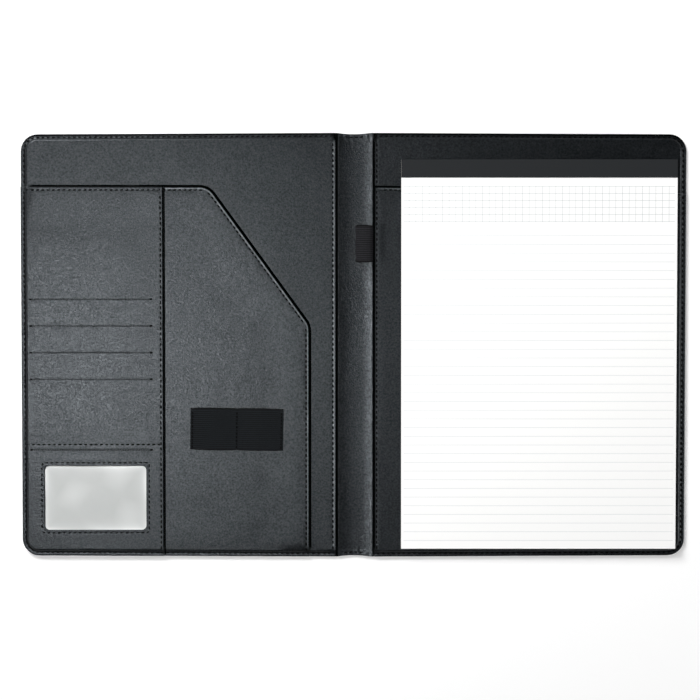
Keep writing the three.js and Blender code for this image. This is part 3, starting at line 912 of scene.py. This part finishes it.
def film_material():
    """Frosted soft vinyl film: pale and slightly translucent, cloudy over a centimetre or
    two, with a fine frost, and paler towards the edge and in blotches as a painted highlight."""
    material, tree, place = new_material("milky_window_film")
    cloud = add(tree, "TexNoise", {"Vector": place, "Scale": 70.0, "Detail": 2.0})
    frost = add(tree, "TexNoise", {"Vector": place, "Scale": 1500.0, "Detail": 2.0})
    clear = add(tree, "Mix", {0: cloud, colour_a: linear("adb0af"), colour_b: linear("b5b7b6")},
                data_type="RGBA")
    # Painted highlight: mixed towards a paler colour.
    painted_highlight = add(tree, "Attribute", attribute_name="finish").outputs["Fac"]
    face = add(tree, "Mix",
               {0: painted_highlight, colour_a: clear, colour_b: linear("e4e6e5")}, data_type="RGBA")
    soft = add(tree, "Bump", {"Height": cloud, "Distance": 0.25 * mm})
    bump = add(tree, "Bump", {"Height": frost, "Distance": 0.006 * mm, "Normal": soft})
    shader = add(tree, "BsdfPrincipled", {
        "Base Color": face, "Roughness": 0.4, "IOR": 1.53, "Subsurface Weight": 0.2,
        "Subsurface Radius": (0.001, 0.001, 0.001), "Normal": bump})
    add(tree, "OutputMaterial", {"Surface": shader})
    return material


film = window_film()
film.data.materials.append(film_material())
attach(film, "left_cover")
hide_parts("id_window_film")


# Elastic band
# A wide piece of ribbed elastic, sewn down at both ends and in its middle on the document
# pocket, so that it makes two flat loops.

band_length, band_width = 71 * mm, 32.5 * mm
band_centre = (-89.4 * mm, -64.0 * mm)
band_tilt = math.radians(-0.8)
band_base = middle_base + 2 * ply_pitch
band_rise = 1.3 * mm
band_sewn_inset, band_sewn_width = 1.5 * mm, 2.2 * mm


def band_height(x):
    """Height of the band's underside over the pocket: two low humps, a squared sine each."""
    span = band_length / 2 - 3 * band_sewn_inset
    share = np.clip((np.abs(x) - band_sewn_inset) / span, 0, 1)
    return band_rise * np.sin(math.pi * share) ** 2


def elastic_band_sheet():
    """The band as webbing along its humped path, a little narrower where it is sewn."""
    x = np.linspace(-band_length / 2, band_length / 2, 150)
    path = np.stack([x, band_height(x) + webbing / 2 + 0.05 * mm], axis=1)
    band = ribbed_strip("elastic_band_webbing", path, band_width, 1.55 * mm, 0.2 * mm)
    points = np.zeros(len(band.data.vertices) * 3)
    band.data.vertices.foreach_get("co", points)
    points = points.reshape(-1, 3)
    from_end = np.abs(points[:, 0]) - band_length / 2 + band_sewn_inset
    sewn = np.exp(-((points[:, 0] / band_sewn_width) ** 2))
    sewn += np.exp(-((from_end / band_sewn_width) ** 2))
    points[:, 1] *= 1 - 0.022 * sewn
    cosine, sine = math.cos(band_tilt), math.sin(band_tilt)
    points[:, :2] = points[:, :2] @ np.array([[cosine, sine], [-sine, cosine]]) + band_centre
    points[:, 2] += band_base
    band.data.vertices.foreach_set("co", points.ravel())
    return band


band = elastic_band_sheet()
band.data.materials.append(webbing_material("black_elastic_webbing", "0d1114", "171c20", 1.1 * mm))
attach(band, "left_cover")
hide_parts("elastic_band")


# Notepad pocket
# The pocket on the right cover holds the notepad's backing. Its mouth runs across the
# cover near the head and falls a little towards the outer edge.

pad_pocket_head, pad_pocket_fall = 121.6 * mm, 4.3 * mm
pad_pocket_seam = 2.4 * mm
pad_rise = 0.75 * mm
pad_pocket_corners = [
    (right_lining_x, -half_height(right_lining_x), square_corner),
    (outer_x, -half_height(outer_x), corner_radius),
    (outer_x, pad_pocket_head - pad_pocket_fall, square_corner),
    (right_lining_x, pad_pocket_head - 0.25 * mm, square_corner),
]


def pad_pocket_bottom(x, y):
    """Back of the notepad pocket, lifted over the board by the notepad's backing."""
    return ply_bottom(1, x, y, pad_rise)


def pad_pocket_top(x, y):
    """Face of the notepad pocket, with its hem and the seams round it."""
    fold = hem(x, y, pad_pocket_corners, (2,), pad_pocket_seam, 0.2 * mm)
    seams = perimeter_dip(x, y) + spine_side_dip(x, y)
    return pad_pocket_bottom(x, y) + leather - seams + fold + tab_swell(x, y)


pad_pocket = ring_sheet("notepad_pocket_leather", pad_pocket_corners, pad_pocket_top,
                        pad_pocket_bottom, 1.2 * mm, 0.7 * mm)
pad_pocket.data.materials.append(lining_leather)
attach(pad_pocket, "right_cover")
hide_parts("pad_pocket")


# Notepad
# A block of white writing sheets with a stiff backing. Each sheet is printed with a short
# squared field at the head and ruled lines below it, and dark paper binds the head.

pad_low, pad_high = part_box("pad_sheets")
print_left, print_right = pad_low[0] + 1.9 * mm, pad_high[0] - 2 * mm
grid_head, grid_foot, grid_left = 121.2 * mm, 94.2 * mm, print_left + 4 * mm
grid_step_x, grid_step_y = 5.07 * mm, 5.3 * mm
rule_head, rule_step, rule_count = 83.9 * mm, 6.656 * mm, 36
line_width = 0.3 * mm
leaf_pitch = 0.35 * mm  # a few sheets to each line, so that they can be told apart


def between(tree, value, low, high):
    """1 where a value lies between two limits, else 0."""
    above = add(tree, "Math", {0: value, 1: low}, operation="GREATER_THAN")
    below = add(tree, "Math", {0: value, 1: high}, operation="LESS_THAN")
    return add(tree, "Math", {0: above, 1: below}, operation="MULTIPLY")


def stripes(tree, value, start, step):
    """1 on thin lines a step apart, counted from the start."""
    turned = add(tree, "Math", {0: value, 1: start - line_width / 2}, operation="SUBTRACT")
    place = add(tree, "Math", {0: turned, 1: step}, operation="FLOORED_MODULO")
    return add(tree, "Math", {0: place, 1: line_width}, operation="LESS_THAN")


def paper_material():
    """Writing paper. On top, thin grey lines come from the remainder of the place over the
    line spacing, kept inside the printed fields. Its sides are painted greyer than its top,
    with fine lines of painted shade between the sheets so that they show."""
    material, tree, place = new_material("white_ruled_paper")
    split = add(tree, "SeparateXYZ", {0: place})
    x, y = split.outputs["X"], split.outputs["Y"]
    normal = add(tree, "NewGeometry").outputs["Normal"]
    upwards = add(tree, "SeparateXYZ", {0: normal}).outputs["Z"]
    on_top = add(tree, "Math", {0: upwards, 1: 0.5}, operation="GREATER_THAN")
    rules_foot = rule_head - (rule_count - 0.5) * rule_step
    grid = add(tree, "Math",
               {0: stripes(tree, x, grid_left, grid_step_x),
                1: stripes(tree, y, grid_head, grid_step_y)}, operation="MAXIMUM")
    rules = stripes(tree, y, rule_head, rule_step)
    printed = []
    for lines, foot, head in ((grid, grid_foot, grid_head), (rules, rules_foot, rule_head)):
        for limit in (between(tree, y, foot, head + line_width),
                      between(tree, x, print_left, print_right), on_top):
            lines = add(tree, "Math", {0: lines, 1: limit}, operation="MULTIPLY")
        printed.append(lines)
    fibre = add(tree, "TexNoise", {"Vector": place, "Scale": 1800.0, "Detail": 3.0})
    # Painted shade: the sides are greyer than the top, darkest in fine lines between the sheets.
    leaves = add(tree, "TexWave",
                 {"Vector": place, "Scale": wave_scale / leaf_pitch, "Distortion": 1.5,
                  "Detail": 2.0}, bands_direction="Z")
    white = add(tree, "Mix", {0: fibre, colour_a: linear("fafaf9"), colour_b: linear("fdfdfc")},
                data_type="RGBA")
    sheet = add(tree, "Mix",
                {0: leaves.outputs["Fac"], colour_a: linear("c9c9c6"), colour_b: linear("f1f1ef")},
                data_type="RGBA")
    for share, ink in ((on_top, white), (printed[1], linear("d3d5d7")),
                       (printed[0], linear("bfc2c4"))):
        sheet = add(tree, "Mix", {0: share, colour_a: sheet, colour_b: ink}, data_type="RGBA")
    bump = add(tree, "Bump", {"Height": fibre, "Distance": 0.01 * mm})
    shader = add(tree, "BsdfPrincipled", {
        "Base Color": sheet, "Roughness": 0.85, "Specular IOR Level": 0.3, "Normal": bump})
    add(tree, "OutputMaterial", {"Surface": shader})
    return material


dress("pad_sheets", paper_material())
backing_card = plain_material("brown_backing_card", "9b8f78", "8b806b", 0.9, 700.0, 0.03 * mm)
dress("pad_backing", backing_card)
binding_paper = plain_material("dark_binding_paper", "0a0e11", "101519", 0.85, 1300.0, 0.03 * mm)
dress("pad_binding", binding_paper)


# Thread
# Black waxed thread in one continuous lockstitch round both covers, and in shorter rows
# along the pocket mouths, the panel, the window and the webbing.

thread_radius = 0.56 * mm
stitch_share = 0.32
lining_row_end = 157 * mm
back_row_rise, back_row_lift = 0.27 * mm, -0.05 * mm


def stitch_points(first, second, lift):
    """Stitches as six-sided beads from first to second points: the radius falls off as a
    fourth root towards both ends, and the ends dive into the leather."""
    stations = np.array([-1, -0.8, -0.35, 0.35, 0.8, 1])
    swell = np.array([0.35, 0.8, 1, 1, 0.8, 0.35])
    dive = np.array([-0.42, -0.1, 0, 0, -0.1, -0.42]) * mm
    turn = np.linspace(0, 2 * math.pi, 6, endpoint=False)
    centre, half = (first + second) / 2, (second - first) / 2
    ahead = half / np.linalg.norm(half, axis=1)[:, None]
    side = np.cross(ahead, [0, 0, 1])
    side /= np.linalg.norm(side, axis=1)[:, None]
    up = np.cross(side, ahead)
    around = (np.cos(turn)[None, None, :, None] * side[:, None, None, :]
              + np.sin(turn)[None, None, :, None] * up[:, None, None, :])
    spine_line = centre[:, None, :] + stations[None, :, None] * half[:, None, :]
    spine_line = spine_line + (lift + dive * np.sign(lift))[None, :, None] * np.array([0, 0, 1.0])
    return spine_line[:, :, None, :] + thread_radius * swell[None, :, None, None] * around


def stitch_row(path, place, surface, pitch=stitch_pitch, lift=0.1 * mm, slant=0.12 * mm):
    """Beads along a path at every pitch of its place. The slant turns each a little across
    the row, as a lockstitch lies. The surface gives the leather's height."""
    order = np.argsort(place)
    place, path = place[order], path[order]
    first, last = math.ceil(place[0] / pitch), math.floor(place[-1] / pitch)
    centres = np.arange(first, last) * pitch + pitch / 2
    ends = []
    for sign in (-1, 1):
        at = centres + sign * stitch_share * pitch
        ends.append(np.stack([np.interp(at, place, path[:, axis]) for axis in (0, 1)], axis=1))
    ahead = ends[1] - ends[0]
    across = np.stack([-ahead[:, 1], ahead[:, 0]], axis=1) / np.linalg.norm(ahead, axis=1)[:, None]
    ends = [spot + sign * slant * across for spot, sign in zip(ends, (-1, 1))]
    points = [np.column_stack([spot, surface(spot[:, 0], spot[:, 1])]) for spot in ends]
    return stitch_points(points[0], points[1], lift)


def thread_piece(name, rows, body, material):
    """All the given rows of beads as one object on one body."""
    beads = np.concatenate(rows)
    count, stations, sides = beads.shape[:3]
    one = np.array(grid_faces(stations, sides, wrap=True))
    size = stations * sides
    quads = (one[None] + size * np.arange(count)[:, None, None]).reshape(-1, 4)
    low_cap = np.arange(sides)[None] + size * np.arange(count)[:, None]
    caps = low_cap.tolist() + (low_cap + size - sides).tolist()
    piece = new_piece(name, beads.reshape(-1, 3), quads.tolist() + caps)
    piece.data.materials.append(material)
    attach(piece, body)
    return piece


def thread_material():
    """Waxed polyester thread: black, with a fine twist and a low gloss."""
    material, tree, place = new_material("black_waxed_thread")
    twist = add(tree, "TexWave", {"Vector": place, "Scale": 700.0, "Distortion": 1.0},
                bands_direction="DIAGONAL").outputs["Fac"]
    face = add(tree, "Mix", {0: twist, colour_a: linear("030303"), colour_b: linear("070808")},
               data_type="RGBA")
    bump = add(tree, "Bump", {"Height": twist, "Distance": 0.05 * mm})
    shader = add(tree, "BsdfPrincipled", {
        "Base Color": face, "Roughness": 0.75, "Specular IOR Level": 0.08, "Normal": bump})
    add(tree, "OutputMaterial", {"Surface": shader})
    return material


def cover_seam_path(side):
    """The seam round a cover's three outer sides, as a ring drawn in from its outline."""
    corners = [(x if x > 100 * mm else hinge_x - 3 * mm, y, radius)
               for x, y, radius in lining_corners(1)]
    ring = rounded_ring(corners, seam_inset, [900, 900, 900, 1], 60)
    ring = ring[np.abs(cover_inset(*ring.T) - seam_inset) < 0.2 * mm]
    ring = ring[ring[:, 0] > hinge_x + 1 * mm]
    return ring * [side, 1]


def left_face(x, y):
    """Height of whatever leather lies on top of the left cover at a place."""
    in_pocket = line_distances(x, y, pocket_corners, (1, 2, 3))[0].min(axis=0) > 0
    in_panel = in_pocket & (x < panel_right)
    lower = np.where(in_pocket, pocket_top(x, y), lining_top(x, y))
    return np.where(in_panel, panel_top(x, y), lower)


def right_face(x, y):
    """Height of whatever leather lies on top of the right cover at a place."""
    in_pocket = line_distances(x, y, pad_pocket_corners, (2,))[0][0] > 0
    return np.where(in_pocket, pad_pocket_top(x, y), lining_top(x, y))


def back_face(x, y):
    """Height of the rows on the outer leather's back, which keeps them off the table."""
    return rim_lift(x, y) + back_row_rise


def straight_row(start, end, surface, **settings):
    """A straight row of beads between two places."""
    share = np.linspace(0, 1, 400)[:, None]
    path = np.array(start) * (1 - share) + np.array(end) * share
    length = np.linalg.norm(np.array(end) - np.array(start))
    return stitch_row(path, share[:, 0] * length, surface, **settings)


def upright_row(x, foot, head, surface):
    """A straight row of beads from the foot towards the head."""
    return straight_row((x, foot), (x, head), surface)


def mouth_rows(corners, sides, seam, surface):
    """Rows along the free sides of a pocket, split where the nearest side changes."""
    ring = rounded_ring(corners, seam, [700] * len(corners), 40)
    inward, along = line_distances(*ring.T, corners, sides)
    nearest = inward.argmin(axis=0)
    on_mouth = (inward.min(axis=0) < seam + 3 * mm) & (cover_inset(*ring.T) > seam_inset)
    rows = []
    for number in range(len(sides)):
        chosen = on_mouth & (nearest == number)
        rows.append(stitch_row(ring[chosen], along[number][chosen], surface))
    return rows


def window_row():
    """The row round the window, a rounded rectangle drawn out from the opening."""
    left, right = window_left - window_seam, window_right + window_seam
    foot, head = window_foot - window_seam, window_head + window_seam
    corners = [(x, y, 1.5 * mm) for x, y in ((left, foot), (right, foot), (right, head),
                                             (left, head))]
    ring = rounded_ring(corners, 0, [400] * 4, 8)
    ring = np.vstack([ring, ring[:1]])
    place = np.concatenate([[0], np.cumsum(np.linalg.norm(np.diff(ring, axis=0), axis=1))])
    return stitch_row(ring, place, panel_top)


def bar_tacks(surface):
    """Three short beads side by side at both ends of each slot, which stop it tearing."""
    rows = []
    for place in slot_places:
        for end in (slot_left - 0.2 * mm, slot_right + 0.2 * mm):
            for step in (-0.45, 0, 0.45):
                x = end + step * mm
                z = surface(np.array([x]), np.array([place]))[0]
                first, second = (np.array([[x, place + half, z]])
                                 for half in (-0.7 * mm, 0.7 * mm))
                rows.append(stitch_points(first, second, 0.35 * mm))
    return rows


thread = thread_material()
left_path = cover_seam_path(-1)
right_path = cover_seam_path(1)
left_rows = [
    stitch_row(left_path, seam_place(*left_path.T), left_face),
    upright_row(-left_lining_x - inner_seam, -lining_row_end, lining_row_end, lining_top),
    *mouth_rows(pocket_corners, (1, 2, 3), pocket_seam, left_face),
]
thread_piece("left_cover_thread", left_rows, "left_cover", thread)
panel_rows = [
    upright_row(panel_right - panel_seam, -lining_row_end, 117 * mm, panel_top),
    straight_row((-outer_x + 3 * mm, panel_seam_place),
                 (panel_right - 0.5 * mm, panel_seam_place), panel_top),
    window_row(),
    *bar_tacks(panel_top),
]
thread_piece("card_panel_thread", panel_rows, "left_cover", thread)
right_rows = [
    stitch_row(right_path, seam_place(*right_path.T), right_face),
    upright_row(right_lining_x + inner_seam, -lining_row_end, lining_row_end, right_face),
    *mouth_rows(pad_pocket_corners, (2,), pad_pocket_seam, right_face),
]
thread_piece("right_cover_thread", right_rows, "right_cover", thread)
for path, body, name in (
    (left_path, "left_cover", "left_back_thread"),
    (right_path, "right_cover", "right_back_thread"),
):
    row = stitch_row(path, seam_place(*path.T), back_face, lift=back_row_lift)
    thread_piece(name, [row], body, thread)
spine_rows = []
for end in (-1, 1):
    x = np.linspace(-11.5 * mm, 11.5 * mm, 200)
    path = np.stack([x, end * (half_height(x) - seam_inset)], axis=1)
    spine_rows.append(stitch_row(path, x, spine_top))
    spine_rows.append(stitch_row(path, x, back_face, lift=back_row_lift))
thread_piece("spine_thread", spine_rows, "spine", thread)


def band_face(x, y):
    """Height of the elastic band's face where it is sewn down."""
    return np.full_like(x, band_base + webbing + 0.1 * mm)


band_rows = []
row_half = np.array([-math.sin(band_tilt), 1]) * 15 * mm
for offset in (-band_length / 2 + band_sewn_inset, 0, band_length / 2 - band_sewn_inset):
    middle = np.array(band_centre) + [offset, offset * math.sin(band_tilt)]
    band_rows.append(straight_row(middle - row_half, middle + row_half, band_face,
                                  pitch=2.6 * mm, slant=0.05 * mm))
thread_piece("elastic_band_thread", band_rows, "left_cover", thread)


# Table and light
# A white table top, a large soft box high on the left and a weaker one beyond the head.
# The photograph's soft shadow falls to the right and to the foot.

def soft_box(name, place, target, size, watts):
    """A rectangular lamp at a place, turned towards a target."""
    data = bpy.data.lights.new(name, "AREA")
    data.shape = "RECTANGLE"
    data.size, data.size_y = size
    data.energy = watts
    lamp = bpy.data.objects.new(name, data)
    bpy.context.scene.collection.objects.link(lamp)
    lamp.location = place
    direction = Vector(target) - Vector(place)
    lamp.rotation_euler = direction.to_track_quat("-Z", "Y").to_euler()
    return lamp


key_light = soft_box("key_light", (-0.4, -0.07, 1.38), (-0.2, 0, 0), (0.25, 0.3), 0.88)
key_light.data.spread = math.radians(70)
soft_box("head_light", (-0.85, 1.2, 1.1), (0, 0, 0), (0.9, 0.7), 40)
soft_box("right_light", (1.5, -0.2, 0.9), (0.1, 0, 0), (1.0, 1.0), 13)

world = bpy.data.worlds.new("studio")
bpy.context.scene.world = world
world.use_nodes = True
world.node_tree.nodes["Background"].inputs["Color"].default_value = (0.04, 0.04, 0.04, 1)


def table_material():
    """A matt white table. The camera sees it a little brighter than it is lit, so that it
    reads as white and still keeps the folder's shadow."""
    material, tree, place = new_material("white_table")
    grain = add(tree, "TexNoise", {"Vector": place, "Scale": 300.0, "Detail": 2.0})
    face = add(tree, "Mix", {0: grain, colour_a: linear("f4f4f4"), colour_b: linear("f6f6f6")},
               data_type="RGBA")
    seen = add(tree, "LightPath").outputs["Is Camera Ray"]
    glow = add(tree, "Math", {0: seen, 1: 0.15}, operation="MULTIPLY")
    matt = add(tree, "BsdfDiffuse", {"Color": face})
    light = add(tree, "Emission", {"Strength": glow})
    both = add(tree, "AddShader", {0: matt, 1: light})
    add(tree, "OutputMaterial", {"Surface": both})
    return material


table_mesh = bpy.data.meshes.new("table")
table_mesh.from_pydata([(-3, -3, 0), (3, -3, 0), (3, 3, 0), (-3, 3, 0)], [], [(0, 1, 2, 3)])
table = bpy.data.objects.new("table", table_mesh)
bpy.context.scene.collection.objects.link(table)
table_mesh.materials.append(table_material())

bpy.context.scene.view_settings.view_transform = "Standard"


# Camera
# The photograph looks straight down on the open folder, tilted a little so that the head
# end is nearer. One millimetre on the folder is 1.3055 of its pixels.

picture_size = 700
pixels_per_mm = 1.3055
picture_centre = (-2.7 * mm, -3.4 * mm, 2 * mm)
camera_distance = 1.4
camera_tilt = math.radians(2.1)

camera_data = bpy.data.cameras.new("camera")
camera = bpy.data.objects.new("camera", camera_data)
bpy.context.scene.collection.objects.link(camera)
bpy.context.scene.camera = camera
camera_data.sensor_width = 36
camera_data.lens = camera_data.sensor_width * camera_distance / (picture_size / pixels_per_mm * mm)
camera_data.clip_end = 20
camera.location = (
    picture_centre[0],
    picture_centre[1] + camera_distance * math.sin(camera_tilt),
    picture_centre[2] + camera_distance * math.cos(camera_tilt),
)
camera.rotation_euler = (-camera_tilt, 0, 0)
